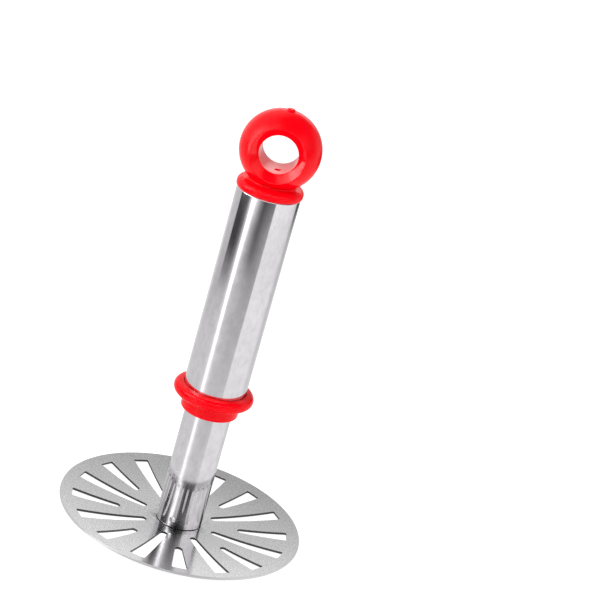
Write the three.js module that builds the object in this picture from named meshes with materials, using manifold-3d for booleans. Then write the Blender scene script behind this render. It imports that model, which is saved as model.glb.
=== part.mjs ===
// Potato masher: a slotted steel disc screwed to the foot of a polished stem, with a wider
// steel grip tube over the upper stem, held between a plastic collar and a plastic ball cap.
// Millimetres, +Z up. The origin is on the masher's axis, on the plane it stands on.
// The hanging hole through the ball runs along Y.

import * as THREE from 'three';
import { mergeVertices } from 'three/addons/utils/BufferGeometryUtils.js';
import Module from 'manifold-3d';

const wasm = await Module();
wasm.setup();

// ---- Driving dimensions -------------------------------------------------------------

const FIT = 0.05; // gap left between pieces that touch or press together
const WALL = 0.7; // wall of both steel tubes

const DISC_RADIUS = 50;
const DISC_THICKNESS = 1;
const DISC_DISH = 3; // rise of the rim above the flat centre
const SEAT_RADIUS = 12; // flat centre of the disc, clamped under the stem

const SLOT_PAIRS = 8; // one long and one short slot in each pair
const SLOT_TURN = 8.6; // degrees that the first short slot is turned from -Y
const SLOT_OUTER_RADIUS = 44.9;
const LONG_SLOT_INNER_RADIUS = 14.6;
const SHORT_SLOT_INNER_RADIUS = 24.5;
const SLOT_OUTER_WIDTH = 6.4;
const SLOT_INNER_WIDTH = 3.0;
const SLOT_CORNER = 0.5;

const SCREW_HEAD_RADIUS = 4.5;
const SCREW_SHANK_RADIUS = 2.4;
const SCREW_TIP_Z = 10;
const HEAD_RECESS = 0.2; // how far the head sits above the disc's lowest face

const STEM_RADIUS = 9.5;
const PLUG_HEIGHT = 13;
const DIMPLE_COUNT = 3;
const DIMPLE_TURN = -14; // degrees that the first dimple is turned from -Y
const DIMPLE_HEIGHT = 3.5; // above the disc
const DIMPLE_BALL_RADIUS = 1.8;
const DIMPLE_DEPTH = 0.45;

const GRIP_RADIUS = 12.7;

const COLLAR_BOTTOM_Z = 51.5;
const COLLAR_BODY_RADIUS = 11.7;
const BEAD_RADIUS = 16.3; // widest radius of the collar's round bead
const BEAD_MIDDLE_Z = COLLAR_BOTTOM_Z + 8;
const BEAD_HALF_HEIGHT = 2.35;
const CUP_RADIUS = 12.85; // inside of the cup that the grip tube stands in
const CUP_FLOOR_Z = BEAD_MIDDLE_Z - 0.4;
const SLEEVE_HEIGHT = 10; // collar sleeve that centres the grip tube, above the cup floor

const CAP_SEAT_Z = 146.5; // underside of the cap's flange, on top of the grip tube
const FLANGE_RADIUS = 13.25;
const FLANGE_HEIGHT = 3.6;
const NECK_FILLET = 0.6; // radius of the fillet between the flange and the ball
const GRIP_SPIGOT_HEIGHT = 6;
const STEM_SPIGOT_HEIGHT = 12;
const SPIGOT_BORE_RADIUS = 6.6;

const BALL_RADIUS = 16;
const BALL_HALF_DEPTH = 14; // along the hanging hole
const BALL_CENTRE_Z = CAP_SEAT_Z + 17.3;
const HOLE_RADIUS = 7.6;
const HOLE_HALF_LENGTH = 7.5; // straight part of the hole
const MOUTH_RADIUS = 10.75; // countersunk mouth where it meets the ball
const GATE_NUB_RADIUS = 1.6;
const GATE_NUB_HEIGHT = 0.7;

// Smoothness of the turned pieces.
const TUBE_STEPS = 40;
const DISC_STEPS = 60;
const SMALL_STEPS = 24;

// ---- Materials ----------------------------------------------------------------------

const polishedSteel = new THREE.MeshStandardMaterial({ color: 0xd4d4d8, roughness: 0.12, metalness: 1 });
const grainedSteel = new THREE.MeshStandardMaterial({ color: 0xc4c4c6, roughness: 0.32, metalness: 1 });
const zincSteel = new THREE.MeshStandardMaterial({ color: 0xb9bcc0, roughness: 0.35, metalness: 1 });
const redPlastic = new THREE.MeshStandardMaterial({ color: 0xf00d16, roughness: 0.25, metalness: 0 });

// ---- Shape helpers ------------------------------------------------------------------

const radians = THREE.MathUtils.degToRad;

// Points of a circular arc in a profile plane, given by its centre and two angles.
function arc(centreR, centreZ, radius, fromDegrees, toDegrees, steps) {
  return Array.from({ length: steps + 1 }, (_, i) => {
    const angle = radians(THREE.MathUtils.lerp(fromDegrees, toDegrees, i / steps));
    return [centreR + radius * Math.cos(angle), centreZ + radius * Math.sin(angle)];
  });
}

// Turns a profile of [radius, height] pairs around Z. The profile runs up the outside,
// and either starts and ends on the axis or is a ring that closes on itself.
function turned(profile, steps) {
  const points = profile.map(([r, z]) => new THREE.Vector2(r, z));
  return new THREE.LatheGeometry(points, steps).rotateX(Math.PI / 2);
}

function turnedRing(profile, steps) {
  return turned([...profile, profile[0]], steps);
}

// A closed geometry as a solid that can be cut and joined.
function toSolid(geometry) {
  const bare = new THREE.BufferGeometry();
  bare.setAttribute('position', geometry.getAttribute('position').clone());
  bare.setIndex(geometry.getIndex());
  const merged = mergeVertices(bare, 1e-4);
  const index = merged.getIndex().array;
  const triangles = [];
  for (let i = 0; i < index.length; i += 3) {
    const [a, b, c] = [index[i], index[i + 1], index[i + 2]];
    if (a !== b && b !== c && c !== a) triangles.push(a, b, c);
  }
  return new wasm.Manifold(new wasm.Mesh({
    numProp: 3,
    vertProperties: new Float32Array(merged.getAttribute('position').array),
    triVerts: new Uint32Array(triangles),
  }));
}

function toGeometry(solid) {
  const { vertProperties, triVerts } = solid.getMesh();
  const geometry = new THREE.BufferGeometry();
  geometry.setAttribute('position', new THREE.BufferAttribute(vertProperties, 3));
  geometry.setIndex(new THREE.BufferAttribute(triVerts, 1));
  geometry.computeVertexNormals();
  return geometry;
}

function cut(geometry, cutters) {
  const solid = cutters.reduce((rest, cutter) => rest.subtract(toSolid(cutter)), toSolid(geometry));
  return toGeometry(solid);
}

function join(geometries) {
  const [first, ...others] = geometries.map(toSolid);
  return toGeometry(others.reduce((whole, other) => whole.add(other), first));
}

function piece(name, geometry, material) {
  const mesh = new THREE.Mesh(geometry, material);
  mesh.name = name;
  return mesh;
}

// ---- Mashing disc -------------------------------------------------------------------

// Height of the disc's underside: flat at the centre, then a shallow curve up to the rim.
function dishRise(r) {
  const across = Math.max(0, (r - SEAT_RADIUS) / (DISC_RADIUS - SEAT_RADIUS));
  return DISC_DISH * across ** 2;
}

// The centre is pressed up into a 45 degree cone, so that the screw head sits flush.
function discBlank() {
  const curveSteps = 5;
  const radii = Array.from({ length: curveSteps + 1 }, (_, i) =>
    THREE.MathUtils.lerp(SEAT_RADIUS, DISC_RADIUS, i / curveSteps));
  const coneFoot = SCREW_HEAD_RADIUS + 0.2;
  const coneTop = SCREW_SHANK_RADIUS + 0.2;
  const coneRise = coneFoot - coneTop;
  const lip = DISC_THICKNESS / Math.SQRT2;
  const bend = DISC_THICKNESS * Math.tan(radians(22.5));
  return turnedRing([
    [coneTop, coneRise],
    [coneFoot, 0],
    ...radii.map((r) => [r, dishRise(r)]),
    ...radii.reverse().map((r) => [r, dishRise(r) + DISC_THICKNESS]),
    [coneFoot + bend, DISC_THICKNESS],
    [coneTop + lip, coneRise + lip],
  ], DISC_STEPS);
}

// A tapered slot along +X with a small corner radius outside and a round inner end.
function slotCutter(innerRadius, turn) {
  const halfOuter = SLOT_OUTER_WIDTH / 2;
  const halfInner = SLOT_INNER_WIDTH / 2;
  const shape = new THREE.Shape();
  shape.moveTo(innerRadius + halfInner, -halfInner);
  shape.lineTo(SLOT_OUTER_RADIUS - SLOT_CORNER, -halfOuter);
  shape.quadraticCurveTo(SLOT_OUTER_RADIUS, -halfOuter, SLOT_OUTER_RADIUS, -halfOuter + SLOT_CORNER);
  shape.lineTo(SLOT_OUTER_RADIUS, halfOuter - SLOT_CORNER);
  shape.quadraticCurveTo(SLOT_OUTER_RADIUS, halfOuter, SLOT_OUTER_RADIUS - SLOT_CORNER, halfOuter);
  shape.lineTo(innerRadius + halfInner, halfInner);
  shape.absarc(innerRadius + halfInner, 0, halfInner, Math.PI / 2, 1.5 * Math.PI, false);
  const depth = DISC_DISH + DISC_THICKNESS + 2;
  return new THREE.ExtrudeGeometry(shape, { depth, bevelEnabled: false, curveSegments: 2 })
    .translate(0, 0, -1)
    .rotateZ(turn);
}

function mashingDisc() {
  const slots = Array.from({ length: 2 * SLOT_PAIRS }, (_, i) => {
    const innerRadius = i % 2 === 0 ? SHORT_SLOT_INNER_RADIUS : LONG_SLOT_INNER_RADIUS;
    return slotCutter(innerRadius, radians(SLOT_TURN - 90 + (i * 180) / SLOT_PAIRS));
  });
  return cut(discBlank(), slots);
}

// ---- Screw and plug that fasten the disc --------------------------------------------

function discScrew() {
  const headTop = HEAD_RECESS + SCREW_HEAD_RADIUS - SCREW_SHANK_RADIUS;
  const body = turned([
    [0, HEAD_RECESS],
    [SCREW_HEAD_RADIUS - 0.1, HEAD_RECESS],
    [SCREW_SHANK_RADIUS, headTop - 0.1],
    [SCREW_SHANK_RADIUS, SCREW_TIP_Z - 0.8],
    [SCREW_SHANK_RADIUS - 0.8, SCREW_TIP_Z],
    [0, SCREW_TIP_Z],
  ], SMALL_STEPS);
  const recessDepth = 1.8;
  const crossBars = [0, 90].map((turn) =>
    new THREE.BoxGeometry(4.2, 1, 2 * recessDepth)
      .translate(0, 0, HEAD_RECESS)
      .rotateZ(radians(turn)));
  return cut(body, crossBars);
}

// Steel plug in the foot of the stem: countersunk over the disc's cone, tapped for the
// screw, with a groove that the stem's punched dimples bite into.
function footPlug() {
  const bottom = DISC_THICKNESS + FIT;
  const top = DISC_THICKNESS + PLUG_HEIGHT;
  const radius = STEM_RADIUS - WALL - FIT;
  const grooveRadius = radius - 0.5;
  const grooveZ = DISC_THICKNESS + DIMPLE_HEIGHT;
  const tapRadius = SCREW_SHANK_RADIUS + FIT;
  const coneFoot = SCREW_HEAD_RADIUS + 1;
  const coneTop = tapRadius + 1.1;
  return turned([
    [0, SCREW_TIP_Z + 1.2],
    [tapRadius, SCREW_TIP_Z + 0.4],
    [tapRadius, bottom + coneFoot - coneTop],
    [coneTop, bottom + coneFoot - coneTop],
    [coneFoot, bottom],
    [radius, bottom],
    [radius, grooveZ - 1.5],
    [grooveRadius, grooveZ - 1],
    [grooveRadius, grooveZ + 1],
    [radius, grooveZ + 1.5],
    [radius, top - 0.8],
    [radius - 0.8, top],
    [0, top],
  ], TUBE_STEPS);
}

// ---- Stem and grip tubes ------------------------------------------------------------

// A plain tube with slightly rounded outer edges.
function tube(radius, bottomZ, topZ) {
  const edge = 0.3;
  return turnedRing([
    [radius - WALL, bottomZ],
    ...arc(radius - edge, bottomZ + edge, edge, -90, 0, 2),
    ...arc(radius - edge, topZ - edge, edge, 0, 90, 2),
    [radius - WALL, topZ],
  ], TUBE_STEPS);
}

// The stem stands on the disc and ends under the step of the cap's spigot.
function stemTube() {
  const topZ = CAP_SEAT_Z - GRIP_SPIGOT_HEIGHT - FIT;
  const dimpleReach = STEM_RADIUS + DIMPLE_BALL_RADIUS - DIMPLE_DEPTH;
  const dimples = Array.from({ length: DIMPLE_COUNT }, (_, i) =>
    new THREE.SphereGeometry(DIMPLE_BALL_RADIUS, 16, 8)
      .translate(dimpleReach, 0, DISC_THICKNESS + DIMPLE_HEIGHT)
      .rotateZ(radians(DIMPLE_TURN - 90 + (i * 360) / DIMPLE_COUNT)));
  return cut(tube(STEM_RADIUS, DISC_THICKNESS + FIT, topZ), dimples);
}

function gripTube() {
  return tube(GRIP_RADIUS, CUP_FLOOR_Z + FIT, CAP_SEAT_Z - FIT);
}

// ---- Collar -------------------------------------------------------------------------

// A short body under a full-round bead. The cup in the bead takes the end of the grip
// tube, and a thin sleeve inside the grip tube centres it on the stem.
function collar() {
  const bore = STEM_RADIUS + FIT;
  const sleeve = GRIP_RADIUS - WALL - FIT;
  const sleeveTop = CUP_FLOOR_Z + SLEEVE_HEIGHT;
  const beadCentreRadius = BEAD_RADIUS - BEAD_HALF_HEIGHT;
  const lipTop = BEAD_MIDDLE_Z + BEAD_HALF_HEIGHT + 0.3;
  const bottomEdge = 0.8;
  return turnedRing([
    [bore, COLLAR_BOTTOM_Z],
    ...arc(COLLAR_BODY_RADIUS - bottomEdge, COLLAR_BOTTOM_Z + bottomEdge, bottomEdge, -90, 0, 3),
    [COLLAR_BODY_RADIUS, BEAD_MIDDLE_Z - 0.85 * BEAD_HALF_HEIGHT],
    ...arc(beadCentreRadius, BEAD_MIDDLE_Z, BEAD_HALF_HEIGHT, -110, 80, 9),
    [CUP_RADIUS + 0.3, lipTop],
    [CUP_RADIUS, lipTop - 0.2],
    [CUP_RADIUS, CUP_FLOOR_Z],
    [sleeve, CUP_FLOOR_Z],
    [sleeve, sleeveTop - 0.8],
    [sleeve - 0.4, sleeveTop],
    [bore, sleeveTop],
  ], TUBE_STEPS);
}

// ---- Ball cap -----------------------------------------------------------------------

// Flange on the grip tube, and a stepped, cored spigot below it: the wide step fills the
// grip tube and the narrow one fills the stem.
function capFlange() {
  const gripSpigot = GRIP_RADIUS - WALL - FIT;
  const stemSpigot = STEM_RADIUS - WALL - FIT;
  const stepZ = CAP_SEAT_Z - GRIP_SPIGOT_HEIGHT;
  const endZ = stepZ - STEM_SPIGOT_HEIGHT;
  const lowerRound = 1;
  const upperRound = 1.9;
  const flangeTop = CAP_SEAT_Z + FLANGE_HEIGHT;
  return turned([
    [0, CAP_SEAT_Z + 1],
    [SPIGOT_BORE_RADIUS, CAP_SEAT_Z],
    [SPIGOT_BORE_RADIUS, endZ],
    [stemSpigot - 0.5, endZ],
    [stemSpigot, endZ + 1.5],
    [stemSpigot, stepZ],
    [gripSpigot, stepZ],
    [gripSpigot, CAP_SEAT_Z],
    ...arc(FLANGE_RADIUS - lowerRound, CAP_SEAT_Z + lowerRound, lowerRound, -90, 0, 3),
    ...arc(FLANGE_RADIUS - upperRound, flangeTop - upperRound, upperRound, 0, 90, 5),
    [0, flangeTop],
  ], TUBE_STEPS);
}

// Fillet that runs from the flange's top up to the ball, tangent to both. It is worked out
// for the ball's full radius and then flattened along Y as the ball is.
function neckFillet() {
  const flangeTop = CAP_SEAT_Z + FLANGE_HEIGHT;
  const rise = BALL_CENTRE_Z - flangeTop - NECK_FILLET;
  const centreR = Math.sqrt((BALL_RADIUS + NECK_FILLET) ** 2 - rise ** 2);
  const ballSide = 180 - THREE.MathUtils.radToDeg(Math.atan2(rise, centreR));
  const fillet = arc(centreR, flangeTop + NECK_FILLET, NECK_FILLET, 270, ballSide, 4);
  const [topR, topZ] = fillet[fillet.length - 1];
  return turned([
    [0, flangeTop - 0.5],
    [centreR, flangeTop - 0.5],
    ...fillet,
    [topR - 0.5, topZ + 0.3],
    [0, topZ + 0.3],
  ], TUBE_STEPS).scale(1, BALL_HALF_DEPTH / BALL_RADIUS, 1);
}

function capBall() {
  return new THREE.SphereGeometry(1, TUBE_STEPS, TUBE_STEPS / 2)
    .rotateX(Math.PI / 2)
    .scale(BALL_RADIUS, BALL_HALF_DEPTH, BALL_RADIUS)
    .translate(0, 0, BALL_CENTRE_Z);
}

// The small stub that the moulding gate leaves on the crown of the ball.
function gateNub() {
  const crown = BALL_CENTRE_Z + BALL_RADIUS;
  return turned([
    [0, crown - 0.6],
    [GATE_NUB_RADIUS, crown - 0.6],
    [GATE_NUB_RADIUS, crown + GATE_NUB_HEIGHT - 0.2],
    [GATE_NUB_RADIUS - 0.3, crown + GATE_NUB_HEIGHT],
    [0, crown + GATE_NUB_HEIGHT],
  ], SMALL_STEPS / 2);
}

// Hanging hole along Y, with a conical mouth on both sides of the ball.
function hangingHoleCutter() {
  const mouthY = BALL_HALF_DEPTH * Math.sqrt(1 - (MOUTH_RADIUS / BALL_RADIUS) ** 2);
  const flare = (MOUTH_RADIUS - HOLE_RADIUS) / (mouthY - HOLE_HALF_LENGTH);
  const endY = BALL_HALF_DEPTH + 0.5;
  const endRadius = HOLE_RADIUS + flare * (endY - HOLE_HALF_LENGTH);
  const profile = [
    [0, -endY],
    [endRadius, -endY],
    [HOLE_RADIUS, -HOLE_HALF_LENGTH],
    [HOLE_RADIUS, HOLE_HALF_LENGTH],
    [endRadius, endY],
    [0, endY],
  ];
  return turned(profile, TUBE_STEPS).rotateX(Math.PI / 2).translate(0, 0, BALL_CENTRE_Z);
}

function ballCap() {
  return cut(join([capFlange(), neckFillet(), capBall(), gateNub()]), [hangingHoleCutter()]);
}

// ---- Assembly -----------------------------------------------------------------------

const group = new THREE.Group();
group.add(
  piece('mashing_disc', mashingDisc(), grainedSteel),
  piece('disc_screw', discScrew(), zincSteel),
  piece('foot_plug', footPlug(), zincSteel),
  piece('stem_tube', stemTube(), polishedSteel),
  piece('collar', collar(), redPlastic),
  piece('grip_tube', gripTube(), polishedSteel),
  piece('ball_cap', ballCap(), redPlastic),
);

export default group;
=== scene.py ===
"""Looks of the potato masher: fine meshes for every visible piece, their materials, and a pale studio.

Everything is in metres, in the frame of the CAD model: +Z up the stem, the hanging hole along Y.
"""
import math

import bmesh
import bpy
from mathutils import Matrix, Vector


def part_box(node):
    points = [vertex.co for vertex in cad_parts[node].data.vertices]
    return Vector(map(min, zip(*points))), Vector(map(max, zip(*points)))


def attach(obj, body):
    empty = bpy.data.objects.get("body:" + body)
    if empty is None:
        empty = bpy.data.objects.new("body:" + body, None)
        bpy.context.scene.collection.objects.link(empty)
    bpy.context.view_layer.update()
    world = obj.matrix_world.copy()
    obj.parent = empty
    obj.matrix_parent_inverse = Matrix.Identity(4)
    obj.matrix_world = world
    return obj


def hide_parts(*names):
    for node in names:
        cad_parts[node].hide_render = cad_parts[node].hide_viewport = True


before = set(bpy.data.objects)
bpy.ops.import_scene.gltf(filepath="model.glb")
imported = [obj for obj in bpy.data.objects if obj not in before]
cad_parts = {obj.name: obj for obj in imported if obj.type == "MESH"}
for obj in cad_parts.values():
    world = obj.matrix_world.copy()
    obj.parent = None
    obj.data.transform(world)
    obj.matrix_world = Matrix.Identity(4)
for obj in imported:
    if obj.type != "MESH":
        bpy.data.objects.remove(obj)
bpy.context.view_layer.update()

BODY = "root"
MM = 0.001
MICRON = 0.001 * MM

# ---- Sizes, from the CAD nodes where a node's box gives them --------------------------

DISC_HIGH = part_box("mashing_disc")[1]
SCREW_LOW, SCREW_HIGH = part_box("disc_screw")
STEM_LOW, STEM_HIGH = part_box("stem_tube")
COLLAR_LOW, COLLAR_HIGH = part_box("collar")
GRIP_LOW, GRIP_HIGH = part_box("grip_tube")
CAP_LOW, CAP_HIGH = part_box("ball_cap")

WALL = 0.7 * MM  # of both tubes
FIT = 0.05 * MM  # gap between pieces that touch or press together

DISC_RADIUS = DISC_HIGH.x
DISC_THICKNESS = 1.0 * MM
DISC_DISH = DISC_HIGH.z - DISC_THICKNESS
SEAT_RADIUS = 12 * MM  # flat centre of the disc
SLOT_COUNT = 16
SLOT_TURN = math.radians(8.6 - 90)  # direction of the first short slot, from +X
SLOT_OUTER_RADIUS = 44.9 * MM
LONG_SLOT_INNER_RADIUS = 14.6 * MM
SHORT_SLOT_INNER_RADIUS = 24.5 * MM
SLOT_OUTER_WIDTH = 6.4 * MM
SLOT_INNER_WIDTH = 3.0 * MM
SLOT_CORNER = 0.6 * MM
HUB_RADIUS = 13.3 * MM  # the slots lie between these two radii
RIM_RADIUS = 46.3 * MM

STEM_RADIUS = STEM_HIGH.x
DIMPLE_COUNT = 3
DIMPLE_TURN = math.radians(-14 - 90)  # direction of the first dimple, from +X
DIMPLE_HEIGHT = DISC_THICKNESS + 3.5 * MM
DIMPLE_RADIUS = 1.3 * MM
DIMPLE_DEPTH = 0.28 * MM
JOINT_SHADE_TOP = STEM_LOW.z + 0.2 * MM  # painted shade fills the joint below this height
JOINT_SHADE_RADIUS = STEM_RADIUS - 0.28 * MM  # and outside this radius
# Centre of the painted dark reflection at the front of the foot, on the camera's side.
DARK_REFLECTION_PLACE = (0.1 * MM, -STEM_RADIUS - 0.4 * MM, DISC_THICKNESS + 0.8 * MM)

GRIP_RADIUS = GRIP_HIGH.x

BEAD_RADIUS = COLLAR_HIGH.x
BEAD_HALF_HEIGHT = 2.35 * MM
BEAD_MIDDLE = COLLAR_LOW.z + 8 * MM
COLLAR_BODY_RADIUS = 11.7 * MM
CUP_RADIUS = 12.85 * MM

CAP_SEAT = GRIP_HIGH.z + FIT
FLANGE_RADIUS = CAP_HIGH.y
FLANGE_TOP = CAP_SEAT + 3.6 * MM
NECK_FILLET = 0.6 * MM
SPIGOT_BORE_RADIUS = 6.6 * MM
BALL_RADIUS = CAP_HIGH.x
BALL_HALF_DEPTH = 14 * MM
BALL_CENTRE = CAP_SEAT + 17.3 * MM
HOLE_RADIUS = 7.6 * MM
HOLE_HALF_LENGTH = 7.5 * MM
MOUTH_RADIUS = 10.75 * MM
EJECTOR_PIT_RADIUS = 0.7 * MM
EJECTOR_PIT_PLACES = [(side * 11 * MM, -3.5 * MM, FLANGE_TOP + 0.2 * MM) for side in (-1, 1)]
GATE_PIT_RADIUS = 1.6 * MM
GATE_PIT_PLACE = (0.9 * MM, -1.8 * MM, BALL_CENTRE - HOLE_RADIUS + 0.95 * MM)
CAP_SKIN, CAP_MOUTH, CAP_HOLE = range(3)  # material slots of the cap

# ---- Detail of the meshes -------------------------------------------------------------

TURN_STEPS = 256  # around a turned piece
STEM_STEPS = 400  # around the stem, finer for its dimples
SCREW_STEPS = 96
CORNER_STEPS = 4
SLOT_END_STEPS = 4  # along the inner end, the side and the outer end of half a slot
SLOT_SIDE_STEPS = 26
SLOT_OUTER_STEPS = 8
CARD_STEPS = 6  # columns of a card between two azimuths
SHARP_ANGLE = math.radians(35)
WELD_DISTANCE = 0.01 * MM
HAIR = 0.02 * MM  # margin for telling faces apart by where they are

# ---- Colours that are used more than once ---------------------------------------------

# Near-black of the painted dark reflection at the foot.
DARK_REFLECTION_GREY = (0.08, 0.08, 0.08)
GLOW_WHITE = (1, 1, 1, 1)


# ---- Mesh helpers ---------------------------------------------------------------------

def arc(centre_r, centre_z, radius, start_deg, end_deg, steps):
    """Points of a circular arc in the profile plane."""
    angles = [math.radians(start_deg + (end_deg - start_deg) * i / steps) for i in range(steps + 1)]
    return [(centre_r + radius * math.cos(a), centre_z + radius * math.sin(a)) for a in angles]


def softened(corners):
    """A profile from (r, z) points and (r, z, cut) corners, each rounded over the length of its cut."""
    points = []
    for i, corner in enumerate(corners):
        if len(corner) == 2:
            points.append(corner)
            continue
        here = Vector(corner[:2])
        before = Vector(corners[i - 1][:2])
        after = Vector(corners[(i + 1) % len(corners)][:2])
        start = here + (before - here).normalized() * corner[2]
        end = here + (after - here).normalized() * corner[2]
        for k in range(CORNER_STEPS + 1):
            t = k / CORNER_STEPS
            points.append(tuple(start * (1 - t) ** 2 + here * 2 * t * (1 - t) + end * t ** 2))
    return points


def new_piece(name, mesh):
    """A smooth-shaded object for a mesh, with its sharp edges kept sharp."""
    for face in mesh.polygons:
        face.use_smooth = True
    mesh.set_sharp_from_angle(angle=SHARP_ANGLE)
    piece = bpy.data.objects.new(name, mesh)
    bpy.context.scene.collection.objects.link(piece)
    return piece


def turned_mesh(name, profile, steps=TURN_STEPS):
    """Turns a profile of (r, z) points around Z. It closes on itself, or on the axis where r is 0."""
    on_axis = profile[0][0] == 0 and profile[-1][0] == 0
    shape = bmesh.new()
    rings = []
    for r, z in profile:
        if r == 0:
            rings.append([shape.verts.new((0, 0, z))])
            continue
        angles = [2 * math.pi * k / steps for k in range(steps)]
        rings.append([shape.verts.new((r * math.cos(a), r * math.sin(a), z)) for a in angles])
    pairs = list(zip(rings, rings[1:]))
    if not on_axis:
        pairs.append((rings[-1], rings[0]))
    for low, high in pairs:
        for k in range(steps):
            following = (k + 1) % steps
            if len(low) == 1:
                corners = [low[0], high[following], high[k]]
            elif len(high) == 1:
                corners = [low[k], low[following], high[0]]
            else:
                corners = [low[k], low[following], high[following], high[k]]
            shape.faces.new(corners)
    mesh = bpy.data.meshes.new(name)
    shape.to_mesh(mesh)
    shape.free()
    return mesh


def combined(name, base, others, operation):
    """A piece's mesh with other solids joined to it or cut from it; the tools are removed."""
    for other in others:
        step = base.modifiers.new("combine", "BOOLEAN")
        step.operation = operation
        step.solver = "EXACT"
        step.object = other
        evaluated = base.evaluated_get(bpy.context.evaluated_depsgraph_get())
        result = bpy.data.meshes.new_from_object(evaluated)
        base.modifiers.clear()
        base.data = result
        bpy.data.objects.remove(other)
    base.data.name = name
    base.data.set_sharp_from_angle(angle=SHARP_ANGLE)
    return base


# ---- Disc -----------------------------------------------------------------------------

def dish_rise(r):
    """Height of the disc's underside: flat at the centre, then a shallow curve up to the rim."""
    across = max(0.0, (r - SEAT_RADIUS) / (DISC_RADIUS - SEAT_RADIUS))
    return DISC_DISH * across ** 2


def half_slot_outline(inner_radius):
    """The +Y half of a slot along +X, from the tip of its round inner end to the middle of its outer end."""
    half_inner = SLOT_INNER_WIDTH / 2
    half_outer = SLOT_OUTER_WIDTH / 2
    corner_x = SLOT_OUTER_RADIUS - SLOT_CORNER
    corner_y = half_outer - SLOT_CORNER
    inner_end = arc(inner_radius + half_inner, 0, half_inner, 180, 90, SLOT_END_STEPS)
    side_start = Vector(inner_end[-1])
    side_end = Vector((corner_x, half_outer))
    side = [tuple(side_start.lerp(side_end, i / SLOT_SIDE_STEPS)) for i in range(1, SLOT_SIDE_STEPS + 1)]
    corner_steps = SLOT_OUTER_STEPS // 2
    corner = arc(corner_x, corner_y, SLOT_CORNER, 90, 0, corner_steps)
    flat_steps = SLOT_OUTER_STEPS - corner_steps
    flat_top = corner[-1][1]
    flat = [(SLOT_OUTER_RADIUS, flat_top * (1 - i / flat_steps)) for i in range(1, flat_steps + 1)]
    return inner_end + side + corner[1:] + flat


def half_sector_outline():
    """The +Y half of the sector around a slot, point for point opposite the slot's outline."""
    half_angle = math.pi / SLOT_COUNT
    length = RIM_RADIUS - HUB_RADIUS
    hub = [(HUB_RADIUS, half_angle * i / SLOT_END_STEPS) for i in range(SLOT_END_STEPS + 1)]
    side = [(HUB_RADIUS + length * i / SLOT_SIDE_STEPS, half_angle) for i in range(1, SLOT_SIDE_STEPS + 1)]
    rim = [(RIM_RADIUS, half_angle * (1 - i / SLOT_OUTER_STEPS)) for i in range(1, SLOT_OUTER_STEPS + 1)]
    return [(r * math.cos(a), r * math.sin(a)) for r, a in hub + side + rim]


def mirrored_loop(half):
    """The closed loop of a half outline and its mirror image across X."""
    return half + [(x, -y) for x, y in reversed(half[1:-1])]


def add_sector(shape, inner_radius, turn):
    """Quads between one slot's outline and the edges of its sector."""
    ring_count = 4
    slot_loop = mirrored_loop(half_slot_outline(inner_radius))
    sector_loop = mirrored_loop(half_sector_outline())
    cosine = math.cos(turn)
    sine = math.sin(turn)
    rings = []
    for k in range(ring_count + 1):
        ring = []
        for inside, outside in zip(slot_loop, sector_loop):
            x, y = Vector(inside).lerp(Vector(outside), k / ring_count)
            place = (x * cosine - y * sine, x * sine + y * cosine, dish_rise(math.hypot(x, y)))
            ring.append(shape.verts.new(place))
        rings.append(ring)
    for inner, outer in zip(rings, rings[1:]):
        for i in range(len(inner)):
            following = (i + 1) % len(inner)
            shape.faces.new([inner[i], inner[following], outer[following], outer[i]])


def add_polar_band(shape, profile, steps, turn):
    """A turned band of the disc between the given (r, z) points."""
    rings = []
    for r, z in profile:
        angles = [turn + 2 * math.pi * k / steps for k in range(steps)]
        rings.append([shape.verts.new((r * math.cos(a), r * math.sin(a), z)) for a in angles])
    for inner, outer in zip(rings, rings[1:]):
        for k in range(steps):
            following = (k + 1) % steps
            shape.faces.new([inner[k], inner[following], outer[following], outer[k]])


def hub_profile():
    """The disc's underside from the screw's countersink across the flat seat and out to the slots."""
    cone_foot = SCREW_HIGH.x + 0.3 * MM
    cone_top = 2.6 * MM
    edge = 0.5 * MM
    seat_radii = (8 * MM, 10 * MM, SEAT_RADIUS)
    cone = [(cone_top, cone_foot - cone_top), (cone_foot, 0, edge)]
    seat = [(r, 0) for r in seat_radii]
    return softened([*cone, *seat, (HUB_RADIUS, dish_rise(HUB_RADIUS))])


def disc_mesh():
    """The disc's underside as one clean grid with its normals up."""
    shape = bmesh.new()
    sector_angle = 2 * math.pi / SLOT_COUNT
    for i in range(SLOT_COUNT):
        inner_radius = SHORT_SLOT_INNER_RADIUS if i % 2 == 0 else LONG_SLOT_INNER_RADIUS
        add_sector(shape, inner_radius, SLOT_TURN + i * sector_angle)
    hub_steps = 2 * SLOT_END_STEPS * SLOT_COUNT
    rim_steps = 2 * SLOT_OUTER_STEPS * SLOT_COUNT
    rim_bands = 4
    rim_radii = [RIM_RADIUS + (DISC_RADIUS - RIM_RADIUS) * i / rim_bands for i in range(rim_bands + 1)]
    add_polar_band(shape, hub_profile(), hub_steps, SLOT_TURN)
    add_polar_band(shape, [(r, dish_rise(r)) for r in rim_radii], rim_steps, SLOT_TURN)
    bmesh.ops.remove_doubles(shape, verts=shape.verts, dist=WELD_DISTANCE)
    bmesh.ops.recalc_face_normals(shape, faces=shape.faces)
    if sum(face.normal.z for face in shape.faces) < 0:
        bmesh.ops.reverse_faces(shape, faces=shape.faces)
    mesh = bpy.data.meshes.new("disc_sheet")
    shape.to_mesh(mesh)
    shape.free()
    return mesh


def disc_piece():
    """The slotted sheet, thickened upwards from its underside, with eased edges."""
    piece = new_piece("disc_sheet", disc_mesh())
    thicken = piece.modifiers.new("thickness", "SOLIDIFY")
    thicken.thickness = DISC_THICKNESS
    thicken.offset = 1
    thicken.use_even_offset = True
    thicken.material_offset_rim = 1
    ease = piece.modifiers.new("eased edges", "BEVEL")
    ease.width = 0.1 * MM
    ease.segments = 2
    ease.limit_method = "ANGLE"
    ease.angle_limit = math.radians(50)
    ease.harden_normals = True
    return piece


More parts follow.
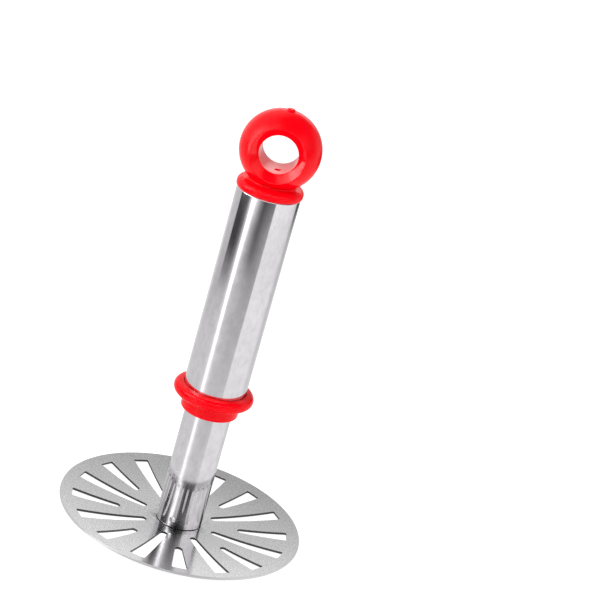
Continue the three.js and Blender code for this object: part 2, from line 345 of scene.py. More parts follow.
def recess_bar(turn):
    """One tapered arm of the screw's cross recess, to be cut from its head."""
    point = 1.8 * MM
    half_depth = 1.5 * MM
    inner_reach = 1.2 * MM
    mouth_reach = 2.9 * MM
    slimness = 0.27
    profile = [(0, -point), (inner_reach, -half_depth), (mouth_reach, half_depth), (0, half_depth)]
    bar = new_piece("recess_bar", turned_mesh("recess_bar", profile, steps=4))
    bar.scale = (1, slimness, 1)
    bar.rotation_euler = (math.pi, 0, turn)
    bar.location.z = SCREW_LOW.z
    return bar


def screw_piece():
    """Countersunk screw with a cross recess, seen from below."""
    shank = 2.4 * MM
    head = SCREW_HIGH.x
    head_edge = 0.25 * MM
    tip_taper = 0.8 * MM
    profile = softened([
        (0, SCREW_LOW.z),
        (head, SCREW_LOW.z, head_edge),
        (shank, SCREW_LOW.z + head - shank),
        (shank, SCREW_HIGH.z - tip_taper),
        (shank - tip_taper, SCREW_HIGH.z),
        (0, SCREW_HIGH.z),
    ])
    screw = new_piece("cross_screw", turned_mesh("cross_screw", profile, SCREW_STEPS))
    bars = [recess_bar(turn) for turn in (0, math.pi / 2)]
    bpy.context.view_layer.update()
    return combined("cross_screw", screw, bars, "DIFFERENCE")


# ---- Tubes ----------------------------------------------------------------------------

def tube_profile(radius, low, high, fine_until=None):
    """A tube wall with rounded outer edges and, where asked, close rings near its foot."""
    edge = 0.3 * MM
    foot = arc(radius - edge, low + edge, edge, -90, 0, steps=5)
    head = arc(radius - edge, high - edge, edge, 0, 90, steps=5)
    rings = []
    if fine_until:
        spacing = 0.15 * MM
        count = int((fine_until - low - edge) / spacing)
        rings = [(radius, low + edge + spacing * (i + 1)) for i in range(count)]
    return [(radius - WALL, low)] + foot + rings + head + [(radius - WALL, high)]


def punch_dimples(mesh):
    """Sinks the round crimp dimples into the stem's outer surface."""
    centres = [DIMPLE_TURN + 2 * math.pi * k / DIMPLE_COUNT for k in range(DIMPLE_COUNT)]
    outer_surface = STEM_RADIUS - 0.01 * MM
    for vertex in mesh.vertices:
        x, y, z = vertex.co
        radius = math.hypot(x, y)
        if radius < outer_surface:
            continue
        for centre in centres:
            around = math.remainder(math.atan2(y, x) - centre, 2 * math.pi) * STEM_RADIUS
            reach = math.hypot(around, z - DIMPLE_HEIGHT) / DIMPLE_RADIUS
            if reach < 1:
                sunk = (radius - DIMPLE_DEPTH * (1 - reach ** 2) ** 1.5) / radius
                vertex.co.x *= sunk
                vertex.co.y *= sunk


def stem_piece():
    """The dimpled stem; the faces of its rounded foot have the second material, the painted joint shade."""
    profile = tube_profile(STEM_RADIUS, STEM_LOW.z, STEM_HIGH.z, DIMPLE_HEIGHT + 2 * DIMPLE_RADIUS)
    mesh = turned_mesh("polished_stem", profile, STEM_STEPS)
    punch_dimples(mesh)
    for face in mesh.polygons:
        x, y, z = face.center
        # Faces low in the joint get the painted shade.
        in_painted_joint_shade = z < JOINT_SHADE_TOP and math.hypot(x, y) > JOINT_SHADE_RADIUS
        face.material_index = 1 if in_painted_joint_shade else 0
    return new_piece("polished_stem", mesh)


def grip_piece():
    """The wider tube that is held in the hand."""
    profile = tube_profile(GRIP_RADIUS, GRIP_LOW.z, GRIP_HIGH.z)
    return new_piece("polished_grip", turned_mesh("polished_grip", profile))


# ---- Plastic pieces -------------------------------------------------------------------

def collar_piece():
    """Short body, full-round bead with a cup for the grip tube, and the sleeve inside the tube."""
    bore = STEM_RADIUS + FIT
    bore_edge = 0.2 * MM
    foot_edge = 0.8 * MM
    crease = 0.3 * MM
    lip_edge = 0.06 * MM
    sleeve = GRIP_RADIUS - WALL - FIT
    lead_in_length = 0.8 * MM
    lead_in_depth = 0.4 * MM
    cup_floor = GRIP_LOW.z - FIT
    lip = BEAD_MIDDLE + BEAD_HALF_HEIGHT + 0.3 * MM
    underside = BEAD_MIDDLE - 0.85 * BEAD_HALF_HEIGHT
    bead_start_deg = -112
    bead_end_deg = 78
    bead_centre = BEAD_RADIUS - BEAD_HALF_HEIGHT
    bead = arc(bead_centre, BEAD_MIDDLE, BEAD_HALF_HEIGHT, bead_start_deg, bead_end_deg, steps=40)
    profile = softened([
        (bore, COLLAR_LOW.z, bore_edge),
        (COLLAR_BODY_RADIUS, COLLAR_LOW.z, foot_edge),
        (COLLAR_BODY_RADIUS, underside, crease),
        *bead,
        (CUP_RADIUS, lip, lip_edge),
        (CUP_RADIUS, cup_floor),
        (sleeve, cup_floor),
        (sleeve, COLLAR_HIGH.z - lead_in_length),
        (sleeve - lead_in_depth, COLLAR_HIGH.z),
        (bore, COLLAR_HIGH.z),
    ])
    return new_piece("moulded_collar", turned_mesh("moulded_collar", profile))


def cap_flange_mesh():
    """Flange over the grip tube, and the stepped, cored spigot inside the tubes."""
    grip_spigot = GRIP_RADIUS - WALL - FIT
    stem_spigot = STEM_RADIUS - WALL - FIT
    lead_in_length = 1.5 * MM
    lead_in_depth = 0.5 * MM
    step = STEM_HIGH.z + FIT
    bore_top = CAP_SEAT + 1 * MM
    lower_round = 1.0 * MM
    upper_round = 1.9 * MM
    profile = [
        (0, bore_top),
        (SPIGOT_BORE_RADIUS, CAP_SEAT),
        (SPIGOT_BORE_RADIUS, CAP_LOW.z),
        (stem_spigot - lead_in_depth, CAP_LOW.z),
        (stem_spigot, CAP_LOW.z + lead_in_length),
        (stem_spigot, step),
        (grip_spigot, step),
        (grip_spigot, CAP_SEAT),
        *arc(FLANGE_RADIUS - lower_round, CAP_SEAT + lower_round, lower_round, -90, 0, steps=10),
        *arc(FLANGE_RADIUS - upper_round, FLANGE_TOP - upper_round, upper_round, 0, 90, steps=24),
        (0, FLANGE_TOP),
    ]
    return turned_mesh("cap_flange", profile)


def neck_mesh():
    """Fillet from the flange's top up to the ball, tangent to both and flattened as the ball is."""
    rise = BALL_CENTRE - FLANGE_TOP - NECK_FILLET
    centre_r = math.sqrt((BALL_RADIUS + NECK_FILLET) ** 2 - rise ** 2)
    ball_side_deg = 180 - math.degrees(math.atan2(rise, centre_r))
    fillet = arc(centre_r, FLANGE_TOP + NECK_FILLET, NECK_FILLET, 270, ball_side_deg, steps=10)
    top_r, top_z = fillet[-1]
    inside_flange = FLANGE_TOP - 0.5 * MM
    inside_ball_r = top_r - 0.5 * MM
    inside_ball_z = top_z + 0.3 * MM
    profile = [
        (0, inside_flange),
        (centre_r, inside_flange),
        *fillet,
        (inside_ball_r, inside_ball_z),
        (0, inside_ball_z),
    ]
    mesh = turned_mesh("neck", profile)
    for vertex in mesh.vertices:
        vertex.co.y *= BALL_HALF_DEPTH / BALL_RADIUS
    return mesh


def ball_mesh():
    """The ball and its countersunk hole are one turned shape about the hole's axis."""
    mouth = BALL_HALF_DEPTH * math.sqrt(1 - (MOUTH_RADIUS / BALL_RADIUS) ** 2)
    start = math.asin(mouth / BALL_HALF_DEPTH)
    hole_edge = 0.35 * MM
    mouth_edge = 0.2 * MM
    skin_steps = 96
    angles = [start * (1 - 2 * i / skin_steps) for i in range(1, skin_steps)]
    skin = [(BALL_RADIUS * math.cos(a), -BALL_HALF_DEPTH * math.sin(a)) for a in angles]
    profile = softened([
        (HOLE_RADIUS, HOLE_HALF_LENGTH, hole_edge),
        (HOLE_RADIUS, 0),
        (HOLE_RADIUS, -HOLE_HALF_LENGTH, hole_edge),
        (MOUTH_RADIUS, -mouth, mouth_edge),
        *skin,
        (MOUTH_RADIUS, mouth, mouth_edge),
    ])
    mesh = turned_mesh("ball", profile)
    for vertex in mesh.vertices:
        x, y, z = vertex.co
        vertex.co = (x, -z, y)
    return mesh


def gate_nub_mesh():
    """The stub that the moulding gate leaves on the crown of the ball."""
    bottom = BALL_CENTRE + BALL_RADIUS - 0.6 * MM
    radius = 1.6 * MM
    edge = 0.6 * MM
    profile = softened([
        (0, bottom),
        (radius, bottom),
        (radius, CAP_HIGH.z, edge),
        (0, CAP_HIGH.z),
    ])
    return turned_mesh("gate_nub", profile, steps=48)


def pit(radius, place):
    """A small ball that leaves a round pit where it's cut away."""
    profile = [(0, -radius), *arc(0, 0, radius, -90, 90, steps=8)[1:-1], (0, radius)]
    cutter = new_piece("pit", turned_mesh("pit", profile, steps=24))
    cutter.location = place
    return cutter


def mark_cap_faces(mesh):
    """Gives the hole, its mouths and the skin their own slots, by distance from the hole's axis."""
    for face in mesh.polygons:
        from_hole_axis = math.hypot(face.center.x, face.center.z - BALL_CENTRE)
        if from_hole_axis < HOLE_RADIUS + HAIR:
            face.material_index = CAP_HOLE
        elif from_hole_axis < MOUTH_RADIUS - HAIR:
            face.material_index = CAP_MOUTH
        else:
            face.material_index = CAP_SKIN


def cap_piece():
    """Flange, neck, ball and gate nub as one moulding, with the pits that the mould leaves."""
    cap = new_piece("moulded_cap", cap_flange_mesh())
    ball = new_piece("ball", ball_mesh())
    ball.location.z = BALL_CENTRE
    nub = new_piece("gate_nub", gate_nub_mesh())
    neck = new_piece("neck", neck_mesh())
    bpy.context.view_layer.update()
    cap = combined("moulded_cap", cap, [neck, ball, nub], "UNION")
    pits = [pit(EJECTOR_PIT_RADIUS, place) for place in EJECTOR_PIT_PLACES]
    pits.append(pit(GATE_PIT_RADIUS, GATE_PIT_PLACE))
    bpy.context.view_layer.update()
    cap = combined("moulded_cap", cap, pits, "DIFFERENCE")
    mark_cap_faces(cap.data)
    return cap


# ---- Material helpers -----------------------------------------------------------------

def new_material(name, **values):
    """A material with one Principled shader whose sockets take the given constants."""
    material = bpy.data.materials.new(name)
    material.use_nodes = True
    shader = material.node_tree.nodes["Principled BSDF"]
    for socket, value in values.items():
        shader.inputs[socket.replace("_", " ")].default_value = value
    return material, shader


def noise(material, stretch, detail, rough=0.6):
    """A noise value over the object's own coordinates; stretch is its frequency on each axis, per metre."""
    nodes = material.node_tree.nodes
    links = material.node_tree.links
    place = nodes.new("ShaderNodeTexCoord")
    scale = nodes.new("ShaderNodeMapping")
    scale.inputs["Scale"].default_value = stretch
    texture = nodes.new("ShaderNodeTexNoise")
    texture.inputs["Scale"].default_value = 1.0
    texture.inputs["Detail"].default_value = detail
    texture.inputs["Roughness"].default_value = rough
    links.new(place.outputs["Object"], scale.inputs["Vector"])
    links.new(scale.outputs["Vector"], texture.inputs["Vector"])
    return texture.outputs["Fac"]


def times(material, first, second):
    """The product of two values."""
    node = material.node_tree.nodes.new("ShaderNodeMath")
    node.operation = "MULTIPLY"
    material.node_tree.links.new(first, node.inputs[0])
    material.node_tree.links.new(second, node.inputs[1])
    return node.outputs["Value"]


def height_above_table(material):
    """Height above the lowest point of the disc, in metres."""
    nodes = material.node_tree.nodes
    place = nodes.new("ShaderNodeTexCoord")
    parts = nodes.new("ShaderNodeSeparateXYZ")
    material.node_tree.links.new(place.outputs["Object"], parts.inputs["Vector"])
    return parts.outputs["Z"]


def axis_distance(material):
    """Distance from the stem's axis, in metres."""
    nodes = material.node_tree.nodes
    links = material.node_tree.links
    place = nodes.new("ShaderNodeTexCoord")
    flatten = nodes.new("ShaderNodeVectorMath")
    flatten.operation = "MULTIPLY"
    flatten.inputs[1].default_value = (1, 1, 0)
    length = nodes.new("ShaderNodeVectorMath")
    length.operation = "LENGTH"
    links.new(place.outputs["Object"], flatten.inputs[0])
    links.new(flatten.outputs["Vector"], length.inputs[0])
    return length.outputs["Value"]


def distance_from(material, point):
    """Distance from a point of the object, in metres."""
    nodes = material.node_tree.nodes
    links = material.node_tree.links
    place = nodes.new("ShaderNodeTexCoord")
    length = nodes.new("ShaderNodeVectorMath")
    length.operation = "DISTANCE"
    length.inputs[1].default_value = point
    links.new(place.outputs["Object"], length.inputs[0])
    return length.outputs["Value"]


def between(material, factor, low, high, start=0.3, end=0.7):
    """Maps a factor between start and end, by default a noise's middle, to values from low to high."""
    node = material.node_tree.nodes.new("ShaderNodeMapRange")
    node.inputs["From Min"].default_value = start
    node.inputs["From Max"].default_value = end
    node.inputs["To Min"].default_value = low
    node.inputs["To Max"].default_value = high
    material.node_tree.links.new(factor, node.inputs["Value"])
    return node.outputs["Result"]


def tinted(material, factor, first, second):
    """A colour between two colours, each an (r, g, b) tuple or another node's output."""
    node = material.node_tree.nodes.new("ShaderNodeMix")
    node.data_type = "RGBA"
    for name, colour in (("A", first), ("B", second)):
        if isinstance(colour, tuple):
            node.inputs[name].default_value = (*colour, 1)
        else:
            material.node_tree.links.new(colour, node.inputs[name])
    material.node_tree.links.new(factor, node.inputs["Factor"])
    return node.outputs["Result"]


def bumped(material, heights):
    """A normal from several (height, depth in metres) layers, one on the other."""
    normal = None
    for height, depth in heights:
        node = material.node_tree.nodes.new("ShaderNodeBump")
        node.inputs["Strength"].default_value = 1.0
        node.inputs["Distance"].default_value = depth
        material.node_tree.links.new(height, node.inputs["Height"])
        if normal:
            material.node_tree.links.new(normal, node.inputs["Normal"])
        normal = node.outputs["Normal"]
    return normal


def connect(material, shader, **sockets):
    """Links node outputs to the shader's sockets."""
    for socket, source in sockets.items():
        material.node_tree.links.new(source, shader.inputs[socket.replace("_", " ")])


# ---- Materials ------------------------------------------------------------------------

def painted_dark_reflection(material, reach):
    """Strength of the painted dark reflection on the stem and disc at the front of the foot."""
    blotches = noise(material, (1400, 1400, 1400), detail=4)
    near = between(material, distance_from(material, DARK_REFLECTION_PLACE), 1, 0, 0.25 * reach, reach)
    return times(material, near, between(material, blotches, 0.3, 1, 0.4, 0.58))


def grey_patches_round_foot(material):
    """Strength of the faint grey patches on the disc's top, strongest at the stem and gone by the hub."""
    blotches = noise(material, (500, 500, 500), detail=4)
    near_foot = between(material, axis_distance(material), 1, 0, STEM_RADIUS, HUB_RADIUS)
    on_top = between(
        material, height_above_table(material), 0, 1, 0.4 * DISC_THICKNESS, 0.6 * DISC_THICKNESS)
    patches = times(material, on_top, between(material, blotches, 0, 0.7, 0.42, 0.6))
    return times(material, near_foot, patches)


def polished_steel():
    """Mirror-polished tube: polishing rings, soft smudges, haze, a few specks, and a painted dark reflection
    at the front of the foot.
    """
    material, shader = new_material("polished_tube", Metallic=1.0, Anisotropic=0.5, Anisotropic_Rotation=0.25)
    rings = noise(material, (40, 40, 9000), detail=2)
    smudges = noise(material, (70, 70, 35), detail=4)
    specks = noise(material, (1400, 1400, 1400), detail=0)
    around = material.node_tree.nodes.new("ShaderNodeTangent")
    around.direction_type = "RADIAL"
    around.axis = "Z"
    roughness = between(material, smudges, 0.06, 0.12)
    haze = noise(material, (420, 420, 260), detail=3)
    colour = tinted(material, between(material, haze, 0, 1), (0.86, 0.84, 0.865), (0.75, 0.725, 0.76))
    # Painted dark reflection: near-black on the stem at the front of the foot.
    colour = tinted(material, painted_dark_reflection(material, 4.8 * MM), colour, DARK_REFLECTION_GREY)
    raised_specks = between(material, specks, 0, 1, 0.82, 0.9)
    normal = bumped(material, [(rings, 0.2 * MICRON), (raised_specks, 6 * MICRON)])
    connect(
        material, shader, Base_Color=colour, Roughness=roughness, Normal=normal,
        Tangent=around.outputs["Tangent"])
    return material


def sheet_steel():
    """Rolled stainless sheet, half polished: grain along X, speckle, clouds, grey patches round the stem, and
    a painted dark reflection at the front of the foot.
    """
    material, shader = new_material("rolled_sheet", Metallic=1.0)
    grain = noise(material, (350, 5200, 350), detail=3)
    speckle = noise(material, (2600, 2600, 2600), detail=2)
    clouds = noise(material, (60, 60, 60), detail=4)
    colour = tinted(material, between(material, speckle, 0, 1), (0.95, 0.95, 0.95), (0.53, 0.53, 0.54))
    # Faint grey patches, darkest next to the stem.
    colour = tinted(material, grey_patches_round_foot(material), colour, (0.2, 0.195, 0.19))
    # Painted dark reflection: near-black on the disc at the front of the foot.
    colour = tinted(material, painted_dark_reflection(material, 5.2 * MM), colour, DARK_REFLECTION_GREY)
    roughness = between(material, clouds, 0.09, 0.15)
    normal = bumped(material, [(grain, 4 * MICRON), (speckle, 12 * MICRON)])
    connect(material, shader, Base_Color=colour, Roughness=roughness, Normal=normal)
    return material


def cut_edge_steel():
    """Sheared edge of the sheet: near-black in the slots as painted shade in the slot walls, rubbed bright at
    the rim.
    """
    material, shader = new_material("cut_edge", Metallic=1.0, Roughness=0.35)
    rim = between(material, axis_distance(material), 0, 1, RIM_RADIUS, DISC_RADIUS - 1 * MM)
    shear_lines = noise(material, (2500, 2500, 200), detail=2)
    # Near-black is painted shade in the slot walls; the bright rim is rubbing wear.
    colour = tinted(material, rim, (0.09, 0.09, 0.095), (0.75, 0.75, 0.76))
    normal = bumped(material, [(shear_lines, 20 * MICRON)])
    connect(material, shader, Base_Color=colour, Normal=normal)
    return material


def painted_joint_shade():
    """A painted shade line: near-black faces in the joint at the stem's foot."""
    material, shader = new_material("painted_joint_shade", Roughness=0.6)
    crumbs = noise(material, (1800, 1800, 1800), detail=3)
    # Painted shade: near-black, flecked with dark grey.
    colour = tinted(material, between(material, crumbs, 0, 1), (0.015, 0.015, 0.016), (0.07, 0.065, 0.06))
    normal = bumped(material, [(crumbs, 40 * MICRON)])
    connect(material, shader, Base_Color=colour, Normal=normal)
    return material


def zinc_steel():
    """Zinc-plated fastener with a slightly frosted face."""
    material, shader = new_material("zinc_plate", Metallic=1.0)
    frost = noise(material, (1500, 1500, 1500), detail=3)
    colour = tinted(material, between(material, frost, 0, 1), (0.6, 0.61, 0.63), (0.46, 0.47, 0.5))
    roughness = between(material, frost, 0.25, 0.42)
    normal = bumped(material, [(frost, 10 * MICRON)])
    connect(material, shader, Base_Color=colour, Roughness=roughness, Normal=normal)
    return material


def red_plastic(name, colours, specular, roughnesses):
    """Glossy moulded plastic: faint orange peel, flow clouds, and light handling scuffs in the gloss."""
    material, shader = new_material(
        name, Specular_IOR_Level=specular, Subsurface_Weight=0.12, Subsurface_Scale=4 * MM,
        Subsurface_Radius=(1.0, 0.12, 0.08))
    peel = noise(material, (700, 700, 700), detail=2)
    flow = noise(material, (110, 110, 60), detail=3)
    scuffs = noise(material, (260, 1900, 1100), detail=5, rough=0.7)
    colour = tinted(material, between(material, flow, 0, 1), *colours)
    roughness = between(material, scuffs, *roughnesses)
    normal = bumped(material, [(peel, 10 * MICRON), (scuffs, 3 * MICRON)])
    connect(material, shader, Base_Color=colour, Roughness=roughness, Normal=normal)
    return material


# ---- Studio ---------------------------------------------------------------------------

def add_camera():
    """The photograph's view: from above, with the camera rolled so that the masher leans right."""
    look_down = math.radians(20.79)
    roll = math.radians(16.0)
    distance = 0.8673
    aside = 0.02894
    above = 0.01802
    target = Vector((0, 0, 0.08))
    forward = Vector((0, math.cos(look_down), -math.sin(look_down)))
    level_right = Vector((1, 0, 0))
    level_up = level_right.cross(forward)
    right = level_right * math.cos(roll) + level_up * math.sin(roll)
    up = level_up * math.cos(roll) - level_right * math.sin(roll)
    focal_length_mm = 132
    sensor_width_mm = 36
    lens = bpy.data.cameras.new("camera")
    lens.lens = focal_length_mm
    lens.sensor_width = sensor_width_mm
    camera = bpy.data.objects.new("camera", lens)
    bpy.context.scene.collection.objects.link(camera)
    place = target - forward * distance + right * aside + up * above
    turn = Matrix((right, up, -forward)).transposed()
    camera.matrix_world = Matrix.Translation(place) @ turn.to_4x4()
    bpy.context.scene.camera = camera


def add_floor():
    """A pale light table: part of its brightness is its own, so that shadows on it stay soft."""
    material, _ = new_material(
        "light_table", Base_Color=(0.55, 0.55, 0.55, 1), Emission_Color=GLOW_WHITE, Emission_Strength=0.78,
        Roughness=1.0, Specular_IOR_Level=0.0)
    half_width = 6.0
    level = -0.02 * MM
    corners = [(x * half_width, y * half_width, level) for x, y in ((-1, -1), (1, -1), (1, 1), (-1, 1))]
    mesh = bpy.data.meshes.new("floor")
    mesh.from_pydata(corners, [], [(0, 1, 2, 3)])
    mesh.materials.append(material)
    floor = bpy.data.objects.new("floor", mesh)
    bpy.context.scene.collection.objects.link(floor)


def glow_columns(shape, rings, brightness):
    """Columns of vertices that carry their brightness in the layer "glow".

    Rings are (radius, height) pairs. Brightness is {azimuth: one value for each ring}, and both it and
    the azimuth change evenly from one entry to the next.
    """
    glow = shape.verts.layers.float.new("glow")
    stations = list(brightness.items())
    columns = []
    for (start, start_values), (end, end_values) in zip(stations, stations[1:]):
        for k in range(CARD_STEPS):
            share = k / CARD_STEPS
            azimuth = math.radians(start + (end - start) * share)
            column = []
            for (radius, height), low, high in zip(rings, start_values, end_values):
                vertex = shape.verts.new((radius * math.sin(azimuth), -radius * math.cos(azimuth), height))
                vertex[glow] = low + (high - low) * share
                column.append(vertex)
            columns.append(column)
    return columns


def join_columns(shape, columns):
    """Quads between each column and the next."""
    for left, right in zip(columns, columns[1:]):
        for k in range(len(left) - 1):
            shape.faces.new([left[k], right[k], right[k + 1], left[k + 1]])


def add_card(name, shape):
    """A stage object that glows as its layer "glow" says, and that only reflections see."""
    mesh = bpy.data.meshes.new(name)
    shape.to_mesh(mesh)
    shape.free()
    material, shader = new_material(
        name, Base_Color=(0, 0, 0, 1), Emission_Color=GLOW_WHITE, Roughness=1.0, Specular_IOR_Level=0.0)
    glow = material.node_tree.nodes.new("ShaderNodeAttribute")
    glow.attribute_name = "glow"
    connect(material, shader, Emission_Strength=glow.outputs["Fac"])
    mesh.materials.append(material)
    card = bpy.data.objects.new(name, mesh)
    bpy.context.scene.collection.objects.link(card)
    card.visible_camera = False
    card.visible_diffuse = False
    card.visible_shadow = False
    card.visible_transmission = False


def add_light_tent():
    """A tent of grey, white and black cards around the masher.

    Each entry is an azimuth, with 0 at the camera's side and 90 at +X, and the cards' brightness there:
    at the inner and outer edge of the mat, up the wall at each of its heights, and at the crown.
    """
    mat_edges = [(14 * MM, 0.05 * MM), (55 * MM, 0.3 * MM)]
    wall_radius = 200 * MM
    wall_heights_mm = (0.3, 30, 48, 70, 92, 136, 146, 190, 235, 300, 420)
    crown = (90 * MM, 600 * MM)
    apex_glow = 0.1
    brightness = {
        -180: (0.60, 0.90, 0.90, 0.95, 0.95, 0.92, 0.75, 0.45, 0.42, 0.60, 1.80, 0.80, 0.40, 0.05),
        -165: (0.60, 0.82, 0.82, 0.90, 0.90, 0.88, 0.78, 0.60, 0.60, 0.80, 1.50, 0.80, 0.80, 0.05),
        -150: (0.60, 0.75, 0.75, 0.85, 0.85, 0.85, 0.80, 0.80, 0.90, 1.00, 1.00, 0.90, 1.20, 0.05),
        -125: (0.60, 0.72, 0.66, 0.58, 0.58, 0.58, 0.60, 0.60, 0.90, 1.00, 0.90, 0.90, 1.10, 0.05),
        -98: (0.60, 0.76, 0.66, 0.56, 0.53, 0.59, 0.60, 0.60, 1.00, 1.10, 1.10, 1.10, 0.90, 0.05),
        -94: (0.60, 0.74, 0.66, 0.60, 0.30, 0.05, 0.05, 0.12, 1.00, 1.30, 1.50, 1.40, 0.90, 0.05),
        -84: (0.60, 0.74, 0.66, 0.60, 0.30, 0.05, 0.05, 0.12, 0.40, 4.50, 4.80, 2.60, 0.40, 0.05),
        -72: (0.60, 0.73, 0.65, 0.60, 0.30, 0.05, 0.05, 0.12, 0.40, 6.00, 7.00, 3.00, 0.30, 0.05),
        -59: (0.60, 0.75, 0.68, 0.64, 0.42, 0.18, 0.15, 0.20, 0.40, 4.50, 6.50, 3.00, 0.50, 0.05),
        -50: (0.65, 0.80, 0.80, 0.80, 0.75, 0.62, 0.60, 0.80, 1.50, 3.00, 3.50, 2.20, 1.00, 0.05),
        -45: (1.00, 1.20, 1.50, 1.80, 2.00, 2.00, 1.80, 1.80, 1.00, 1.50, 2.20, 1.80, 1.20, 0.05),
        -39: (1.00, 1.30, 1.60, 1.80, 2.00, 2.00, 2.20, 2.60, 1.00, 1.00, 1.50, 1.50, 1.20, 0.05),
        -34: (0.90, 1.20, 0.80, 0.72, 0.80, 0.95, 1.20, 2.20, 0.60, 0.40, 1.50, 1.60, 0.80, 0.04),
        -28: (0.60, 0.82, 0.68, 0.65, 0.70, 0.62, 0.60, 1.30, 0.30, 0.30, 1.50, 1.60, 0.30, 0.03),
        -20: (0.50, 0.72, 0.62, 0.60, 0.60, 0.42, 0.42, 0.80, 0.05, 0.30, 1.80, 2.00, 0.05, 0.02),
        -15: (0.45, 0.70, 0.60, 0.57, 0.56, 0.34, 0.30, 0.45, 0.05, 0.30, 2.20, 2.40, 0.02, 0.02),
        -7: (0.42, 0.70, 0.57, 0.54, 0.52, 0.22, 0.16, 0.20, 0.05, 0.30, 2.20, 2.40, 0.02, 0.02),
        0: (0.40, 0.69, 0.54, 0.50, 0.48, 0.16, 0.12, 0.05, 0.05, 0.30, 2.20, 2.40, 0.02, 0.02),
        10: (0.40, 0.66, 0.53, 0.47, 0.40, 0.22, 0.19, 0.05, 0.05, 0.30, 2.20, 2.40, 0.02, 0.02),
        22: (0.45, 0.70, 0.52, 0.46, 0.38, 0.32, 0.28, 0.05, 0.05, 0.30, 2.20, 2.40, 0.02, 0.02),
        36: (0.50, 0.76, 0.55, 0.48, 0.44, 0.44, 0.40, 0.05, 0.05, 0.30, 2.20, 2.40, 0.02, 0.02),
        37: (0.58, 0.86, 0.92, 0.93, 0.92, 0.89, 0.92, 1.15, 0.05, 0.05, 1.50, 1.50, 0.02, 0.02),
        95: (0.58, 0.84, 0.90, 0.90, 0.88, 0.86, 0.88, 1.05, 0.40, 0.20, 0.12, 0.05, 0.02, 0.02),
        112: (0.58, 0.84, 0.88, 0.87, 0.85, 0.83, 0.83, 0.85, 0.85, 0.70, 0.45, 0.15, 0.02, 0.02),
        125: (0.50, 0.80, 0.70, 0.67, 0.65, 0.64, 0.62, 0.60, 0.80, 0.80, 0.50, 0.15, 0.02, 0.02),
        132: (0.30, 0.75, 0.64, 0.60, 0.58, 0.50, 0.02, 0.02, 0.40, 0.45, 0.40, 0.10, 0.05, 0.02),
        148: (0.30, 0.75, 0.70, 0.66, 0.64, 0.55, 0.02, 0.02, 0.40, 0.45, 0.50, 0.10, 0.05, 0.02),
        165: (0.50, 0.80, 0.80, 0.85, 0.85, 0.84, 0.75, 0.45, 0.40, 0.45, 1.80, 0.30, 0.10, 0.02),
        180: (0.60, 0.90, 0.90, 0.95, 0.95, 0.92, 0.75, 0.45, 0.42, 0.60, 1.80, 0.80, 0.40, 0.05),
    }
    wall = [(wall_radius, height * MM) for height in wall_heights_mm]
    rings = [*mat_edges, *wall, crown]
    shape = bmesh.new()
    columns = glow_columns(shape, rings, brightness)
    join_columns(shape, columns + columns[:1])
    roof = shape.faces.new([column[-1] for column in columns])
    apex = bmesh.ops.poke(shape, faces=[roof])["verts"][0]
    apex[shape.verts.layers.float["glow"]] = apex_glow
    add_card("light_tent", shape)


def add_side_card():
    """A bright card beside the ball, close enough that the tubes' reflections pass below it."""
    radius = 60 * MM
    heights_mm = (137, 142, 160, 167)
    brightness = {
        -82: (0.00, 0.20, 0.60, 1.50),
        -79: (0.00, 5.00, 4.20, 3.60),
        -67: (0.00, 5.00, 5.00, 5.00),
        -63: (0.00, 1.50, 4.00, 4.50),
    }
    rings = [(radius, height * MM) for height in heights_mm]
    shape = bmesh.new()
    join_columns(shape, glow_columns(shape, rings, brightness))
    add_card("side_card", shape)


def add_softbox(name, azimuth_deg, elevation_deg, distance, size, power):
    """A large soft lamp that faces the masher and isn't seen in reflections.

    Azimuth 0 is the camera's side and 90 is +X.
    """
    azimuth = math.radians(azimuth_deg)
    elevation = math.radians(elevation_deg)
    back = Vector((
        math.sin(azimuth) * math.cos(elevation),
        -math.cos(azimuth) * math.cos(elevation),
        math.sin(elevation)))
    lamp = bpy.data.lights.new(name, "AREA")
    lamp.shape = "RECTANGLE"
    lamp.size, lamp.size_y = size
    lamp.energy = power
    light = bpy.data.objects.new(name, lamp)
    bpy.context.scene.collection.objects.link(light)
    aim = Vector((0, 0, 0.1))
    light.location = aim + back * distance
    light.rotation_euler = (-back).to_track_quat("-Z", "Y").to_euler()
    light.visible_glossy = False


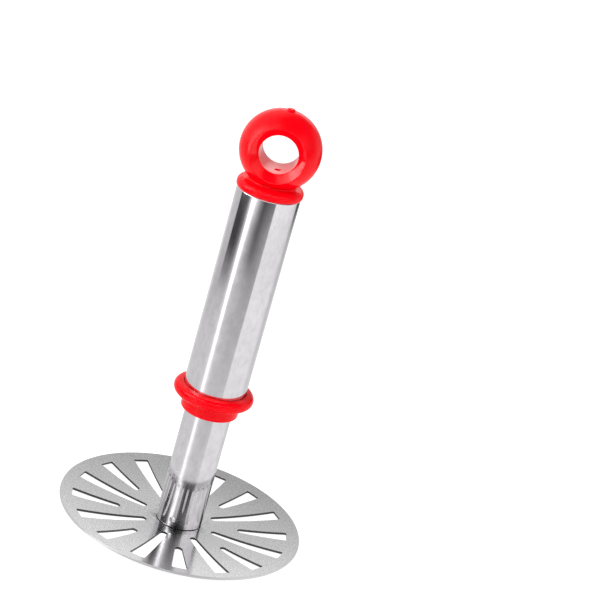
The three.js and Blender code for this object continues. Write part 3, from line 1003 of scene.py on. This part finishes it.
def add_world():
    """Soft light from all round, a little dimmer overhead."""
    world = bpy.data.worlds.new("studio")
    world.use_nodes = True
    nodes = world.node_tree.nodes
    links = world.node_tree.links
    direction = nodes.new("ShaderNodeTexCoord")
    parts = nodes.new("ShaderNodeSeparateXYZ")
    ramp = nodes.new("ShaderNodeValToRGB")
    horizon, overhead = ramp.color_ramp.elements
    horizon.color = (0.85, 0.85, 0.85, 1)
    overhead.color = (0.35, 0.35, 0.36, 1)
    overhead.position = 0.9
    links.new(direction.outputs["Generated"], parts.inputs["Vector"])
    links.new(parts.outputs["Z"], ramp.inputs["Fac"])
    links.new(ramp.outputs["Color"], nodes["Background"].inputs["Color"])
    nodes["Background"].inputs["Strength"].default_value = 1.0
    bpy.context.scene.world = world


# ---- Assembly -------------------------------------------------------------------------

def finish_piece(piece, node, materials):
    """Gives a piece its materials and stands it in for its CAD node."""
    indices = [face.material_index for face in piece.data.polygons]
    piece.data.materials.clear()
    for material in materials:
        piece.data.materials.append(material)
    piece.data.polygons.foreach_set("material_index", indices)
    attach(piece, BODY)
    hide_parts(node)


def cap_materials():
    """The three finishes of the red plastic, in the order of the cap's material slots; the hole's is a
    lighter, pinker copy that paints a sheen.
    """
    reds = ((0.92, 0.0002, 0.007), (0.86, 0.0001, 0.005))
    # Lighter, pinker reds for the hole: painted sheen inside it.
    hole_reds_painted_sheen = ((1.0, 0.03, 0.04), (1.0, 0.02, 0.03))
    skin = red_plastic("red_plastic", reds, specular=0.15, roughnesses=(0.12, 0.2))
    mouth = red_plastic("mouth_red_plastic", reds, specular=0.36, roughnesses=(0.07, 0.13))
    hole = red_plastic("hole_red_plastic_painted_sheen", hole_reds_painted_sheen, specular=1.0, roughnesses=(0.06, 0.12))
    return [skin, mouth, hole]


def build_masher():
    """Makes every visible piece, and gives the hidden plug its material."""
    tube = polished_steel()
    plastics = cap_materials()
    zinc = zinc_steel()
    finish_piece(disc_piece(), "mashing_disc", [sheet_steel(), cut_edge_steel()])
    finish_piece(screw_piece(), "disc_screw", [zinc])
    finish_piece(stem_piece(), "stem_tube", [tube, painted_joint_shade()])
    finish_piece(grip_piece(), "grip_tube", [tube])
    finish_piece(collar_piece(), "collar", [plastics[CAP_SKIN]])
    finish_piece(cap_piece(), "ball_cap", plastics)
    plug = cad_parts["foot_plug"]
    plug.data.materials.clear()
    plug.data.materials.append(zinc)


def build_studio():
    """Camera, floor and soft light."""
    add_camera()
    add_floor()
    add_world()
    add_light_tent()
    add_side_card()
    add_softbox("left_softbox", azimuth_deg=-60, elevation_deg=50, distance=1.0, size=(0.6, 0.9), power=7)
    add_softbox("right_softbox", azimuth_deg=80, elevation_deg=35, distance=1.3, size=(0.7, 1.0), power=4)
    bpy.context.scene.view_settings.view_transform = "Standard"


build_masher()
build_studio()
